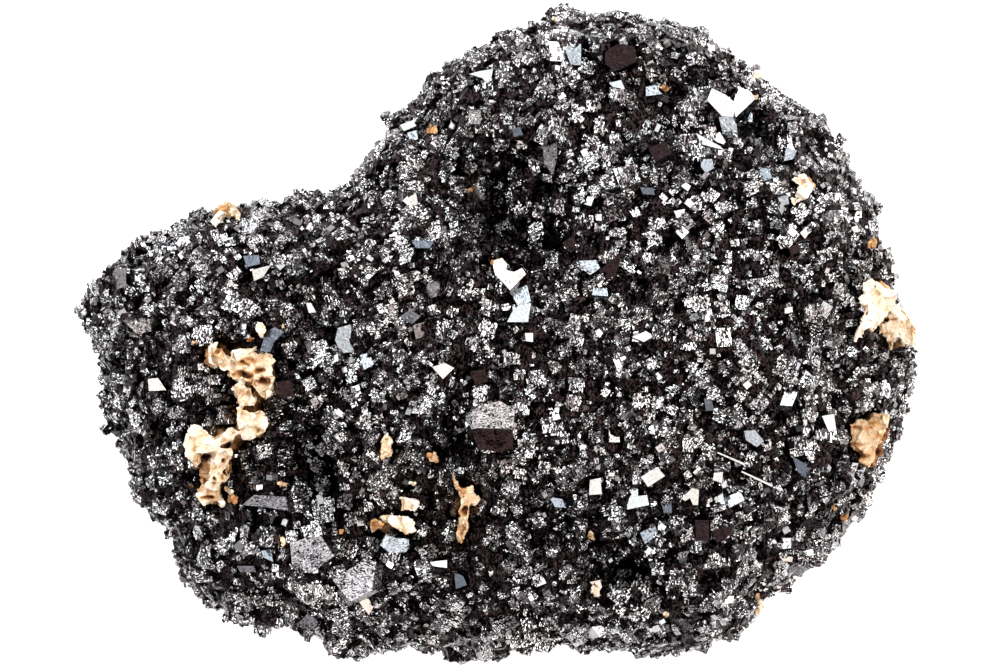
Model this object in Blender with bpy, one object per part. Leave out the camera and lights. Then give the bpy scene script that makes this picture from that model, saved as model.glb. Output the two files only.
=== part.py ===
"""A perovskite specimen: one mass of black, nearly cubic crystals, with pale matrix left in its hollows.

Metres, +Z up. The specimen lies on its broken back with its best face up: +X is its long side and
+Y points to its tall lobe. Distances below are millimetres times MM, measured from the middle of
the outline until the last step, which moves the origin under the middle of the whole specimen.
"""

import math
import random

import bmesh
import bpy
from mathutils import Matrix, Vector, noise

MM = 0.001

# Driving dimensions
OUTLINE_INSET = 0.65 * MM
FACE_HEIGHT = 14.0 * MM
BACK_DEPTH = 13.0 * MM
BASE_CUT = 10.5 * MM
FACE_ROUNDING = 2.7
BACK_ROUNDING = 2.3
BODY_DETAIL = 4
CRYSTAL_COUNT = 245
SMALLEST_CRYSTAL = 2.0 * MM
LARGEST_CRYSTAL = 4.0 * MM
LARGEST_ON_RIM = 3.0 * MM
LARGEST_IN_HOLLOW = 2.2 * MM
RIM_HEIGHT = 7.0 * MM
HOLLOW_DEPTH = 1.0 * MM
CRYSTAL_SINK = 0.36
CANDIDATES = 14
MATRIX_GAP = 0.3 * MM
MATRIX_STANDS_PROUD = 0.35
SEED = 41

CRYSTAL_COLOUR = (0.020, 0.017, 0.018, 1.0)
MATRIX_COLOUR = (0.80, 0.60, 0.38, 1.0)

# The outline seen from above, in millimetres, anticlockwise on the page from the left lobe's tip
OUTLINE = [
    (-29.8, 2.1), (-29.1, -1.4), (-28.6, -4.5), (-27.1, -7.5), (-26.6, -9.9), (-24.9, -12.3),
    (-23.2, -14.9), (-22.4, -18.1), (-18.5, -20.8), (-14.9, -20.8), (-11.0, -22.5), (-7.5, -21.8),
    (-3.9, -22.5), (-1.8, -23.1), (2.8, -21.8), (7.1, -22.4), (13.5, -22.7), (17.4, -21.3),
    (18.6, -18.8), (20.9, -17.5), (23.8, -14.9), (27.0, -11.6), (27.3, -7.8), (29.3, -5.0),
    (30.0, -0.7), (28.0, 2.5), (27.4, 8.2), (25.7, 10.3), (24.4, 13.5), (20.9, 16.5),
    (17.9, 18.7), (15.3, 21.1), (11.7, 22.7), (7.1, 22.9), (3.6, 23.2), (1.1, 21.7),
    (-2.1, 20.4), (-5.0, 17.4), (-7.1, 15.6), (-8.7, 13.1), (-11.0, 10.3), (-14.9, 9.9),
    (-19.5, 8.9), (-22.7, 8.0), (-27.0, 5.5), (-28.6, 3.6),
]

# Relief of the upper face: x, y, reach and rise in millimetres. A negative rise is a hollow
RELIEF = {
    "upper hollow": (0.2, 9.6, 3.8, -6.4),
    "upper hollow's tail": (3.9, 5.8, 2.8, -3.4),
    "left trough, top": (-11.6, -0.6, 2.4, -3.0),
    "left trough, middle": (-12.4, -6.4, 2.2, -3.2),
    "left trough, bottom": (-11.2, -11.2, 2.4, -2.6),
    "lower pit": (8.3, -17.0, 2.4, -4.2),
    "notch above the twin": (13.4, 18.2, 1.6, -1.8),
    "hollow right of the twin": (19.0, 13.0, 1.6, -1.6),
    "hollow by the big cube": (-3.6, -7.4, 1.7, -1.6),
    "upper lobe's crown": (1.0, 14.6, 3.4, 1.6),
    "right shoulder": (20.0, 3.0, 6.0, 1.2),
    "left lobe's crown": (-20.0, 1.0, 5.0, 1.0),
    "knob in the trough": (-10.9, -7.9, 1.8, 1.9),
    "lower left knob": (-12.0, -15.6, 2.2, 1.5),
    "middle swell": (3.0, -5.0, 6.0, 1.2),
}

# Large crystals with places of their own: x, y, side in millimetres, then turns about X, Y and Z
LARGE_CRYSTALS = {
    "big brown cube": (-0.5, -6.7, 3.0, 38.0, -8.0, 4.0),
    "twin, left": (15.9, 16.2, 2.3, 32.0, 20.0, 42.0),
    "twin, right": (17.4, 16.7, 2.3, 30.0, -24.0, 40.0),
    "brown block at the top": (8.4, 19.7, 3.2, 20.0, 12.0, 15.0),
    "brown block on the right": (10.4, 12.9, 2.6, 25.0, -15.0, 30.0),
    "block on the lower right": (15.5, -14.2, 2.8, 12.0, -20.0, 10.0),
    "plate on the lower rim": (-10.8, -21.4, 2.6, 30.0, 10.0, 20.0),
    "block on the left rim": (-26.6, 3.2, 2.6, 20.0, 35.0, 10.0),
}

# Pale matrix: each piece is a chain of lumps, x, y and radius in millimetres, fused in one solid
PALE_MATRIX = {
    "pale_matrix_left": [
        (-19.8, -1.3, 1.4), (-18.2, -2.0, 1.5), (-16.7, -3.0, 1.5), (-17.5, -4.6, 1.4),
        (-17.4, -6.1, 1.5), (-19.1, -7.2, 1.5), (-20.6, -7.9, 1.5), (-20.1, -9.4, 1.5),
        (-20.3, -10.9, 1.4),
    ],
    "pale_matrix_right_upper": [(26.5, 2.5, 1.6), (27.0, 0.9, 1.7), (27.7, 0.3, 1.7)],
    "pale_matrix_right_lower": [(26.2, -6.7, 1.6), (25.9, -8.2, 1.4)],
    "pale_matrix_lower_strip": [(-2.4, -10.8, 0.95), (-2.3, -12.0, 0.95), (-2.5, -13.2, 0.95)],
    "pale_matrix_lower_ledge": [(-7.9, -13.2, 0.95), (-6.7, -13.4, 1.0)],
    "pale_matrix_oval": [(-8.0, -7.9, 1.0)],
    "pale_matrix_upper_right": [(21.5, 10.4, 1.1)],
    "pale_matrix_left_rim": [(-19.5, 8.5, 1.1)],
}

OUTLINE_MIDDLE = Vector((0.0, -0.7)) * MM


def clear_scene():
    for obj in list(bpy.data.objects):
        bpy.data.objects.remove(obj)


def new_collection(name, is_helper):
    group = bpy.data.collections.new(name)
    bpy.context.scene.collection.children.link(group)
    group.hide_render = is_helper
    return group


def new_object(name, mesh_source, group):
    """A mesh object made from a bmesh, in the given collection."""
    mesh = bpy.data.meshes.new(name)
    mesh_source.to_mesh(mesh)
    mesh_source.free()
    obj = bpy.data.objects.new(name, mesh)
    group.objects.link(obj)
    return obj


def as_helper(obj):
    obj.hide_render = True
    obj.display_type = "WIRE"
    return obj


def mineral(name, colour, roughness, metallic):
    material = bpy.data.materials.new(name)
    material.use_nodes = True
    shader = material.node_tree.nodes["Principled BSDF"]
    shader.inputs["Base Color"].default_value = colour
    shader.inputs["Roughness"].default_value = roughness
    shader.inputs["Metallic"].default_value = metallic
    return material


def rim_distance(angle):
    """How far the outline is from its middle in this direction, less the room the crystals need."""
    heading = Vector((math.cos(angle), math.sin(angle)))
    corners = [Vector(point) * MM - OUTLINE_MIDDLE for point in OUTLINE]
    for start, end in zip(corners, corners[1:] + corners[:1]):
        edge = end - start
        spread = heading.cross(edge)
        if abs(spread) < 1e-12:
            continue
        reach = start.cross(edge) / spread
        share = start.cross(heading) / spread
        if reach > 0 and 0.0 <= share <= 1.0:
            return reach - OUTLINE_INSET
    raise ValueError("the outline has a gap")


def relief(x, y):
    """Rise of the upper face's knobs and hollows over its plain dome."""
    rise = 0.0
    for centre_x, centre_y, reach, height in RELIEF.values():
        away = math.hypot(x / MM - centre_x, y / MM - centre_y)
        rise += height * MM * math.exp(-((away / reach) ** 2))
    return rise


def body_point(direction):
    """Where a point of the unit sphere lands on the specimen's body."""
    angle = math.atan2(direction.y, direction.x)
    flat = math.hypot(direction.x, direction.y)
    upper = direction.z >= 0
    power = 2.0 / (FACE_ROUNDING if upper else BACK_ROUNDING)
    out = rim_distance(angle) * flat**power
    x = OUTLINE_MIDDLE.x + out * math.cos(angle)
    y = OUTLINE_MIDDLE.y + out * math.sin(angle)
    if upper:
        z = FACE_HEIGHT * direction.z**power + relief(x, y) * direction.z
    else:
        z = -BACK_DEPTH * (-direction.z) ** power
    lump = noise.noise(Vector((x, y, z)) / (5.0 * MM)) * 0.9 * MM
    return Vector((x, y, z)) + direction * lump


def face_height(x, y):
    """Height of the upper face at a place of the plan, or of its rim where the place is past it."""
    away = Vector((x, y)) - OUTLINE_MIDDLE
    share = min(away.length / rim_distance(math.atan2(away.y, away.x)), 0.985)
    rise = (1.0 - share**FACE_ROUNDING) ** (1.0 / FACE_ROUNDING)
    return FACE_HEIGHT * rise + relief(x, y) * rise


def body(group):
    shape = bmesh.new()
    bmesh.ops.create_icosphere(shape, subdivisions=BODY_DETAIL, radius=1.0)
    for vertex in shape.verts:
        vertex.co = body_point(vertex.co.normalized())
    return new_object("perovskite_crystal_mass", shape, group)


def crystal(name, place, side, turn, group):
    """One pseudo-cube, its three sides a little unequal as the real ones are."""
    shape = bmesh.new()
    bmesh.ops.create_cube(shape, size=1.0)
    bmesh.ops.scale(shape, vec=side, verts=shape.verts)
    obj = new_object(name, shape, group)
    obj.matrix_world = Matrix.Translation(place) @ turn.to_4x4()
    return as_helper(obj)


def random_turn(dice):
    axis = Vector((dice.gauss(0, 1), dice.gauss(0, 1), dice.gauss(0, 1))).normalized()
    return Matrix.Rotation(dice.uniform(0.0, math.pi), 3, axis)


def lump_centre(x, y, radius):
    """Where a crumb of pale matrix sits: half sunk in the face under its place on the plan."""
    height = face_height(x * MM, y * MM) + (MATRIX_STANDS_PROUD - 0.5) * radius * MM
    return Vector((x * MM, y * MM, height))


def over_matrix(point, clearance):
    """Whether a place is so near to some pale matrix that a crystal there would cover it."""
    for lumps in PALE_MATRIX.values():
        for x, y, radius in lumps:
            if (point - lump_centre(x, y, radius)).length < radius * MM + clearance:
                return True
    return False


def largest_at(point):
    """The largest crystal that a place holds: only small ones grew in the hollows and round the rim."""
    if point.z > 0 and relief(point.x, point.y) < -HOLLOW_DEPTH:
        return LARGEST_IN_HOLLOW
    return LARGEST_ON_RIM if point.z < RIM_HEIGHT else LARGEST_CRYSTAL


def spot_on(rock, areas, dice):
    """A place chosen evenly over the body's skin, with the way out of it."""
    face = dice.choices(rock.data.polygons, areas)[0]
    a, b, c = (rock.data.vertices[index].co for index in face.vertices)
    along, across = sorted((dice.random(), dice.random()))
    return a * along + b * (across - along) + c * (1.0 - across), face.normal.copy()


def scattered_crystals(rock, group, dice):
    """Crystals all over the body, larger ones first, each the furthest of a few from those placed."""
    areas = [face.area for face in rock.data.polygons]
    placed = []
    for number in range(CRYSTAL_COUNT):
        share = number / CRYSTAL_COUNT
        usual_size = LARGEST_CRYSTAL + (SMALLEST_CRYSTAL - LARGEST_CRYSTAL) * share**0.6
        best = None
        for _ in range(CANDIDATES):
            point, outward = spot_on(rock, areas, dice)
            size = min(usual_size, largest_at(point))
            if over_matrix(point, 0.5 * size) or point.z < -BASE_CUT + 0.3 * size:
                continue
            room = min(((point - other).length - width / 2 for other, width in placed), default=1.0)
            if best is None or room > best[0]:
                best = (room, point, outward, size)
        if best is None:
            continue
        _, point, outward, size = best
        placed.append((point, size))
        side = [size * dice.uniform(0.78, 1.12) for _ in range(3)]
        place = point - outward * size * CRYSTAL_SINK
        crystal(f"crystal_{number:03d}", place, side, random_turn(dice), group)


def placed_crystals(group):
    for name, (x, y, size, turn_x, turn_y, turn_z) in LARGE_CRYSTALS.items():
        turn = Matrix.Rotation(math.radians(turn_x), 3, "X")
        turn = Matrix.Rotation(math.radians(turn_y), 3, "Y") @ turn
        turn = Matrix.Rotation(math.radians(turn_z), 3, "Z") @ turn
        height = face_height(x * MM, y * MM) - 0.12 * size * MM
        place = Vector((x * MM, y * MM, height))
        crystal(name.replace(" ", "_").replace(",", ""), place, [size * MM] * 3, turn, group)


def matrix_lump(name, x, y, radius, swell, group):
    """One crumb of pale matrix, half sunk in the face. A swell above zero makes its pocket."""
    shape = bmesh.new()
    bmesh.ops.create_icosphere(shape, subdivisions=1, radius=radius * MM + swell)
    spot = Vector((x, y, radius))
    for vertex in shape.verts:
        vertex.co *= 1.0 + 0.10 * noise.noise(vertex.co.normalized() * 1.7 + spot)
    obj = new_object(name, shape, group)
    obj.location = lump_centre(x, y, radius)
    return as_helper(obj)


def add_boolean(obj, operation, group):
    modifier = obj.modifiers.new(operation.lower(), "BOOLEAN")
    modifier.operation = operation
    modifier.operand_type = "COLLECTION"
    modifier.collection = group
    modifier.solver = "EXACT"
    return modifier


def pale_matrix(name, lumps, group, pockets):
    """One piece of pale matrix, and the pocket in the crystal mass that holds it."""
    helpers = new_collection(f"{name} lumps", True)
    for number, (x, y, radius) in enumerate(lumps):
        lump = matrix_lump(f"{name}_{number}", x, y, radius, 0.0, helpers)
        matrix_lump(f"{name}_pocket_{number}", x, y, radius, MATRIX_GAP, pockets)
        if number == 0:
            piece = bpy.data.objects.new(name, lump.data.copy())
            piece.location = lump.location
            group.objects.link(piece)
            helpers.objects.unlink(lump)
    add_boolean(piece, "UNION", helpers)
    return piece


def broken_base(group):
    """A box that takes away everything below the flat break that the specimen lies on."""
    depth = 20.0 * MM
    shape = bmesh.new()
    bmesh.ops.create_cube(shape, size=1.0)
    bmesh.ops.scale(shape, vec=(80.0 * MM, 70.0 * MM, depth), verts=shape.verts)
    box = new_object("broken_base_cutter", shape, group)
    box.location = (0.0, 0.0, -BASE_CUT - depth / 2)
    return as_helper(box)


def bake(obj):
    """The object with its modifiers worked in, so that it can be measured and moved as it is."""
    graph = bpy.context.evaluated_depsgraph_get()
    mesh = bpy.data.meshes.new_from_object(obj.evaluated_get(graph))
    mesh.transform(obj.matrix_world)
    obj.modifiers.clear()
    obj.data = mesh
    obj.matrix_world = Matrix.Identity(4)


def settle_origin(pieces):
    """Puts the origin on the base plane, under the middle of the specimen's box."""
    points = [vertex.co for piece in pieces for vertex in piece.data.vertices]
    middle_x = (min(p.x for p in points) + max(p.x for p in points)) / 2
    middle_y = (min(p.y for p in points) + max(p.y for p in points)) / 2
    lowest = min(p.z for p in points)
    for piece in pieces:
        piece.data.transform(Matrix.Translation((-middle_x, -middle_y, -lowest)))
    print(f"origin moved by {middle_x / MM:.3f}, {middle_y / MM:.3f}, {lowest / MM:.3f} mm")


def main():
    clear_scene()
    dice = random.Random(SEED)
    specimen = new_collection("perovskite_specimen", False)
    crystals = new_collection("crystals", True)
    pockets = new_collection("pockets", True)
    base = new_collection("base", True)

    mass = body(specimen)
    scattered_crystals(mass, crystals, dice)
    placed_crystals(crystals)
    pieces = [pale_matrix(name, lumps, specimen, pockets) for name, lumps in PALE_MATRIX.items()]
    broken_base(base)

    add_boolean(mass, "UNION", crystals)
    add_boolean(mass, "DIFFERENCE", pockets)
    add_boolean(mass, "DIFFERENCE", base)

    bpy.context.view_layer.update()
    for piece in [mass, *pieces]:
        bake(piece)
    settle_origin([mass, *pieces])

    black = mineral("perovskite_black", CRYSTAL_COLOUR, 0.25, 0.3)
    pale = mineral("pale_matrix", MATRIX_COLOUR, 0.85, 0.0)
    mass.data.materials.clear()
    mass.data.materials.append(black)
    for piece in pieces:
        piece.data.materials.clear()
        piece.data.materials.append(pale)


main()
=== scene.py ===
# %% [markdown]
# # A perovskite specimen
#
# The real thing is a palm-sized lump of black crystals. Perovskite grows as small cubes, so many and so
# crowded that no single one stands free: the surface is a mosaic of tiny stepped faces, some of which
# throw a light straight back and look white. Crumbs of pale matrix, the rock it grew in, are left in its
# hollows. This lesson dresses the plain solid of that lump until it looks like the photograph.
#
# The first cell loads the solid. It is the frame: every later piece is placed against it, so its box is
# noted before anything is added.

import math

import bmesh
import bpy
import numpy as np
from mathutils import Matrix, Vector, noise
from mathutils.bvhtree import BVHTree
from mathutils.kdtree import KDTree


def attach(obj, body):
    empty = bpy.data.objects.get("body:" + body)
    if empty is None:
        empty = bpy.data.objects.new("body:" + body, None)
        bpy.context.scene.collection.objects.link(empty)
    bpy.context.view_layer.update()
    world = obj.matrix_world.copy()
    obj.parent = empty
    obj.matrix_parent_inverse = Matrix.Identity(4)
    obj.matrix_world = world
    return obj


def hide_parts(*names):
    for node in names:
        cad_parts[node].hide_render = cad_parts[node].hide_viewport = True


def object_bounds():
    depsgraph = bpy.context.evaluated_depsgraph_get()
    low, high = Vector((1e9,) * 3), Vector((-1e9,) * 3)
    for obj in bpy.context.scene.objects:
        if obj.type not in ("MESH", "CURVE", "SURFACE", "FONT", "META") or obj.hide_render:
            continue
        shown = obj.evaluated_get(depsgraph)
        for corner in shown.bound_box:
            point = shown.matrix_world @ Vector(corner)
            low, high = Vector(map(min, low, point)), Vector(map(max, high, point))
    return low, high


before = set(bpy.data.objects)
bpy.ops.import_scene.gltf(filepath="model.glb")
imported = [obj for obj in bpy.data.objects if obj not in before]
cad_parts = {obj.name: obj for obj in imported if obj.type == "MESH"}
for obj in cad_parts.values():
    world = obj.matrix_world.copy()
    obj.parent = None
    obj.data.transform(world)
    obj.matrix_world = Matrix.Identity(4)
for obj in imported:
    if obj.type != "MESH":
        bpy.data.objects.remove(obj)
solid_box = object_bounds()
MM = 0.001
ROCK = "perovskite_crystal_mass"
print("solids:", len(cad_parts), "box in mm:", [round(x / MM, 1) for x in solid_box[1] - solid_box[0]])

# %% [markdown]
# ## The camera first
#
# The photograph looks straight down on the specimen as it lies on its broken back. A long lens from far
# away keeps the view nearly parallel, as a macro lens does. The camera comes first because several
# crystals are placed where the photograph shows them: a ray from the camera through a picture point tells
# which spot of the rock lies under that point.

# %% Camera over the specimen
PICTURE_WIDTH, PICTURE_HEIGHT = 1000, 667
PIXEL = 0.071 * MM
ORIGIN_IN_PICTURE = (495.65, 337.14)
WIDEST_LEVEL = 10.5 * MM
CAMERA_HEIGHT = 1.2
NEAREST_SEEN = 0.05


def add_object(name, data):
    """A new object in the scene that shows the given data."""
    obj = bpy.data.objects.new(name, data)
    bpy.context.scene.collection.objects.link(obj)
    return obj


camera_data = bpy.data.cameras.new("camera")
camera = add_object("camera", camera_data)
bpy.context.scene.camera = camera
camera.location = (
    (PICTURE_WIDTH / 2 - ORIGIN_IN_PICTURE[0]) * PIXEL,
    (ORIGIN_IN_PICTURE[1] - PICTURE_HEIGHT / 2) * PIXEL,
    CAMERA_HEIGHT,
)
camera_data.lens = camera_data.sensor_width * (CAMERA_HEIGHT - WIDEST_LEVEL) / (PICTURE_WIDTH * PIXEL)
camera_data.clip_start = NEAREST_SEEN


def sight_line(column, row):
    """The direction from the camera through a point of the picture."""
    across = (column - PICTURE_WIDTH / 2) * PIXEL
    up = (PICTURE_HEIGHT / 2 - row) * PIXEL
    return Vector((across, up, WIDEST_LEVEL - CAMERA_HEIGHT)).normalized()


print("lens in mm:", round(camera_data.lens), "distance in mm:", round(CAMERA_HEIGHT / MM))

# %% [markdown]
# ## Studio light
#
# Black shiny crystals show no colour of their own. What we see on them is the studio: a face that mirrors
# a lamp is white, and one that mirrors the dark room is black. So the lamps are soft boxes of a known
# size and place, one a little blue like window light and one a little warm, and the room between them
# stays dim. Each lamp is given by its radiance, because that is the brightness a crystal face mirrors.

# %% Seven soft boxes
LAMPS = {
    # bearing and rise in degrees, distance, width and depth in metres, radiance, colour
    "window_light": (130, 46, 0.50, 0.64, 0.45, 4.4, (0.92, 0.97, 1.0)),
    "warm_light": (-35, 43, 0.50, 0.62, 0.43, 4.4, (1.0, 0.95, 0.90)),
    "back_light": (62, 43, 0.55, 0.56, 0.39, 4.8, (1.0, 0.99, 0.98)),
    "low_light": (215, 36, 0.55, 0.62, 0.33, 4.4, (0.98, 0.98, 1.0)),
    "side_light": (10, 26, 0.60, 0.58, 0.36, 4.8, (1.0, 0.99, 0.98)),
    "top_light": (94, 20, 0.60, 0.54, 0.28, 5.6, (0.98, 0.99, 1.0)),
    "left_light": (172, 24, 0.60, 0.54, 0.30, 5.2, (1.0, 0.99, 0.99)),
}
AIM = Vector((0.0, 0.0, 0.015))


def toward_lamp(name):
    """The direction from the specimen to the middle of a lamp."""
    bearing, rise = (math.radians(angle) for angle in LAMPS[name][:2])
    return Vector((math.cos(bearing) * math.cos(rise), math.sin(bearing) * math.cos(rise), math.sin(rise)))


for name, (_, _, distance, width, depth, radiance, colour) in LAMPS.items():
    lamp_data = bpy.data.lights.new(name, "AREA")
    lamp_data.shape = "RECTANGLE"
    lamp_data.size, lamp_data.size_y = width, depth
    lamp_data.energy = radiance * math.pi * width * depth
    lamp_data.color = colour
    lamp = add_object(name, lamp_data)
    lamp.location = AIM + toward_lamp(name) * distance
    lamp.rotation_euler = toward_lamp(name).to_track_quat("Z", "Y").to_euler()
    lamp.visible_camera = False
print("lamps:", list(LAMPS))

# %% [markdown]
# ## Dim room and pale floor
#
# The room's glow is what the dark facets mirror, so it is kept almost black. The floor is plain pale
# paper without any gloss, wide enough to fill every view. The view transform is Standard, because the
# photograph's whites are pure white and its darks are deep.

# %% Room, paper floor and view transform
ROOM_GLOW = 0.02
ROOM_COLOUR = (0.96, 0.98, 1.0, 1.0)
FLOOR_SIZE = 6.0
FLOOR_COLOUR = (0.80, 0.80, 0.80, 1.0)


def new_finish(name):
    """A new material, with its node tree and its shader."""
    material = bpy.data.materials.new(name)
    material.use_nodes = True
    return material, material.node_tree, material.node_tree.nodes["Principled BSDF"]


world = bpy.data.worlds.new("dim_room")
bpy.context.scene.world = world
world.use_nodes = True
background = world.node_tree.nodes["Background"]
background.inputs["Color"].default_value = ROOM_COLOUR
background.inputs["Strength"].default_value = ROOM_GLOW
bpy.context.scene.view_settings.view_transform = "Standard"

bpy.ops.mesh.primitive_plane_add(size=FLOOR_SIZE, location=(0.0, 0.0, 0.0))
floor = bpy.context.object
floor.name = "floor"
floor_finish, _, floor_shader = new_finish("pale_paper")
floor_shader.inputs["Base Color"].default_value = FLOOR_COLOUR
floor_shader.inputs["Roughness"].default_value = 0.9
floor_shader.inputs["Specular IOR Level"].default_value = 0.0
floor.data.materials.append(floor_finish)
print("floor in m:", round(floor.dimensions.x, 2), "room glow:", ROOM_GLOW)

# %% [markdown]
# ## Wiring a material
#
# A finish is a small network of nodes. It could be wired by hand in the shader editor, but several
# finishes here share one recipe, so the recipe is written once as code. These four helpers make a node,
# wire it, turn a value into a colour, and stretch a value to another range.

# %% Helpers for node trees
def new_node(tree, kind, **settings):
    node = tree.nodes.new(kind)
    for key, value in settings.items():
        setattr(node, key, value)
    return node


def link(tree, source, output, target, entry):
    tree.links.new(source.outputs[output], target.inputs[entry])


def ramp(tree, source, output, stops):
    """A colour ramp from (position, colour) stops, fed by a value."""
    node = new_node(tree, "ShaderNodeValToRGB")
    elements = node.color_ramp.elements
    while len(elements) < len(stops):
        elements.new(0.5)
    for element, (position, colour) in zip(elements, stops):
        element.position = position
        element.color = (*colour, 1.0)
    link(tree, source, output, node, "Fac")
    return node


def value_range(tree, source, output, low, high, start=0.0, end=1.0):
    """A value from start to end, stretched to run from low to high."""
    node = new_node(tree, "ShaderNodeMapRange")
    for entry, value in (("From Min", start), ("From Max", end), ("To Min", low), ("To Max", high)):
        node.inputs[entry].default_value = value
    link(tree, source, output, node, "Value")
    return node


# %% [markdown]
# ## Etched facets
#
# Perovskite mirrors about a sixth of the light straight on, far more than glass, and lets almost none
# out again, so it is shaded as a dark mirror. A perfect mirror would look like cut steel, though. Most
# real faces are etched into facets a fraction of a millimetre across that all tilt their own way, while
# some stay smooth. A Voronoi texture gives every such facet one random colour, and here that colour is
# read as a tilt of the normal. Fine facets lie on coarse ones, and both follow the crystal's own axes.

# %% Facets that tilt the normal
FACET_STRETCH = (1.0, 0.5, 0.8)
COARSE_TO_FINE = 3.2


def facet_tilt(tree, texture, amount, etching):
    """A cell's random colour, centred on zero, as a sideways push for the normal."""
    centred = new_node(tree, "ShaderNodeVectorMath", operation="SUBTRACT")
    centred.inputs[1].default_value = (0.5, 0.5, 0.5)
    link(tree, texture, "Color", centred, 0)
    most = new_node(tree, "ShaderNodeVectorMath", operation="SCALE")
    most.inputs["Scale"].default_value = amount
    link(tree, centred, "Vector", most, 0)
    scaled = new_node(tree, "ShaderNodeVectorMath", operation="SCALE")
    link(tree, most, "Vector", scaled, 0)
    link(tree, etching, "Result", scaled, "Scale")
    return scaled


def etched_normal(tree, surface, facet_size, tilts, etching):
    """The normal as fine and coarse facets tilt it, and the texture of the fine ones."""
    lattice = new_node(tree, "ShaderNodeAttribute", attribute_name="lattice")
    longer = new_node(tree, "ShaderNodeVectorMath", operation="MULTIPLY")
    longer.inputs[1].default_value = FACET_STRETCH
    link(tree, lattice, "Vector", longer, 0)
    normal, output, textures = surface, "Normal", []
    for size, amount in zip((facet_size, facet_size * COARSE_TO_FINE), tilts):
        texture = new_node(tree, "ShaderNodeTexVoronoi", distance="CHEBYCHEV")
        texture.inputs["Scale"].default_value = 1.0 / size
        link(tree, longer, "Vector", texture, "Vector")
        textures.append(texture)
        push = facet_tilt(tree, texture, amount, etching)
        tilted = new_node(tree, "ShaderNodeVectorMath", operation="ADD")
        link(tree, normal, output, tilted, 0)
        link(tree, push, "Vector", tilted, 1)
        normal, output = tilted, "Vector"
    unit = new_node(tree, "ShaderNodeVectorMath", operation="NORMALIZE")
    link(tree, normal, output, unit, 0)
    return unit, textures[0]


# %% [markdown]
# ## The whole crystal finish
#
# How much of the tilt a crystal gets, how bright it is and how rough are drawn once for each island of
# the mesh, so that every crystal is etched, dark or dull in its own way. Shade is painted in as well: the
# mesh carries a number for painted shade, highest in the dark hollows and round the crystals' feet, and
# the finish darkens with it. Each fine facet is also painted bright or nearly black at random, painted
# glints on top of the real ones that its tilted normal throws.

# %% A finish drawn anew for every crystal
ETCHING_EDGE = 0.06
LEAST_ETCHING = 0.04
SMOOTH_FACE = (0.75, 0.75, 0.75, 1.0)
# painted shade: where it is full, the crystal colour falls to this share of itself
FULLY_SHADED_SHARE = 0.015
# A Mix node has its two colours at these inputs, and its colour comes out at this output
FIRST_COLOUR, SECOND_COLOUR, MIXED_COLOUR = 6, 7, 2


def crystal_finish(name, shades, painted_glint_shades, facet_size, tilts, smooth_share, roughness):
    """Etched crystal: shades run over the crystals, from the dullest to the brightest mirror."""
    material, tree, shader = new_finish(name)
    shader.inputs["Metallic"].default_value = 1.0
    surface = new_node(tree, "ShaderNodeNewGeometry")
    dice = new_node(tree, "ShaderNodeTexWhiteNoise", noise_dimensions="1D")
    link(tree, surface, "Random Per Island", dice, "W")
    draws = new_node(tree, "ShaderNodeSeparateColor")
    link(tree, dice, "Color", draws, "Color")
    edge = (smooth_share - ETCHING_EDGE, smooth_share + ETCHING_EDGE)
    etching = value_range(tree, draws, "Red", LEAST_ETCHING, 1.0, *edge)
    normal, fine_facets = etched_normal(tree, surface, facet_size, tilts, etching)
    link(tree, normal, "Vector", shader, "Normal")

    shade = ramp(tree, draws, "Green", shades)
    # painted glints: each fine facet is painted bright or nearly black at random, over the real glints of its
    # tilted normal
    grain = new_node(tree, "ShaderNodeSeparateColor")
    link(tree, fine_facets, "Color", grain, "Color")
    painted_glint = ramp(tree, grain, "Red", painted_glint_shades)
    mosaic = new_node(tree, "ShaderNodeMix", data_type="RGBA")
    link(tree, etching, "Result", mosaic, 0)
    mosaic.inputs[FIRST_COLOUR].default_value = SMOOTH_FACE
    link(tree, painted_glint, "Color", mosaic, SECOND_COLOUR)
    colour = new_node(tree, "ShaderNodeVectorMath", operation="MULTIPLY")
    link(tree, shade, "Color", colour, 0)
    link(tree, mosaic, MIXED_COLOUR, colour, 1)

    # painted shade, strongest in the dark hollows and round the crystals' feet, darkens the colour
    painted_shade = new_node(tree, "ShaderNodeAttribute", attribute_name="painted_shade")
    painted_shade_factor = value_range(tree, painted_shade, "Fac", 1.0, FULLY_SHADED_SHARE)
    seen = new_node(tree, "ShaderNodeVectorMath", operation="SCALE")
    link(tree, colour, "Vector", seen, 0)
    link(tree, painted_shade_factor, "Result", seen, "Scale")
    link(tree, seen, "Vector", shader, "Base Color")
    rough = value_range(tree, draws, "Blue", *roughness)
    link(tree, rough, "Result", shader, "Roughness")
    return material


# %% [markdown]
# ## One recipe, ten finishes
#
# The same recipe makes the black crystals, the ground between them and the faces that catch the
# eye. Only the numbers differ: a white face is hardly etched and its tint paints it bright as a
# highlight, a brown one is painted dark and dull, and the ground is painted nearly black as shade.
# The stops of the two ramps were matched to the photograph.

# %% Finishes of the crystals, the ground and the bright faces
BLACK_SHADES = [
    (0.0, (0.04, 0.030, 0.031)),
    (0.18, (0.22, 0.197, 0.201)),
    (0.38, (0.42, 0.398, 0.405)),
    (0.75, (0.49, 0.484, 0.498)),
    (0.92, (0.56, 0.546, 0.546)),
    (1.0, (0.66, 0.65, 0.64)),
]
# painted shade: the ground between the crystals is made nearly black
GROUND_PAINTED_SHADES = [(0.0, (0.014, 0.0095, 0.010)), (1.0, (0.018, 0.012, 0.0125))]
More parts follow.
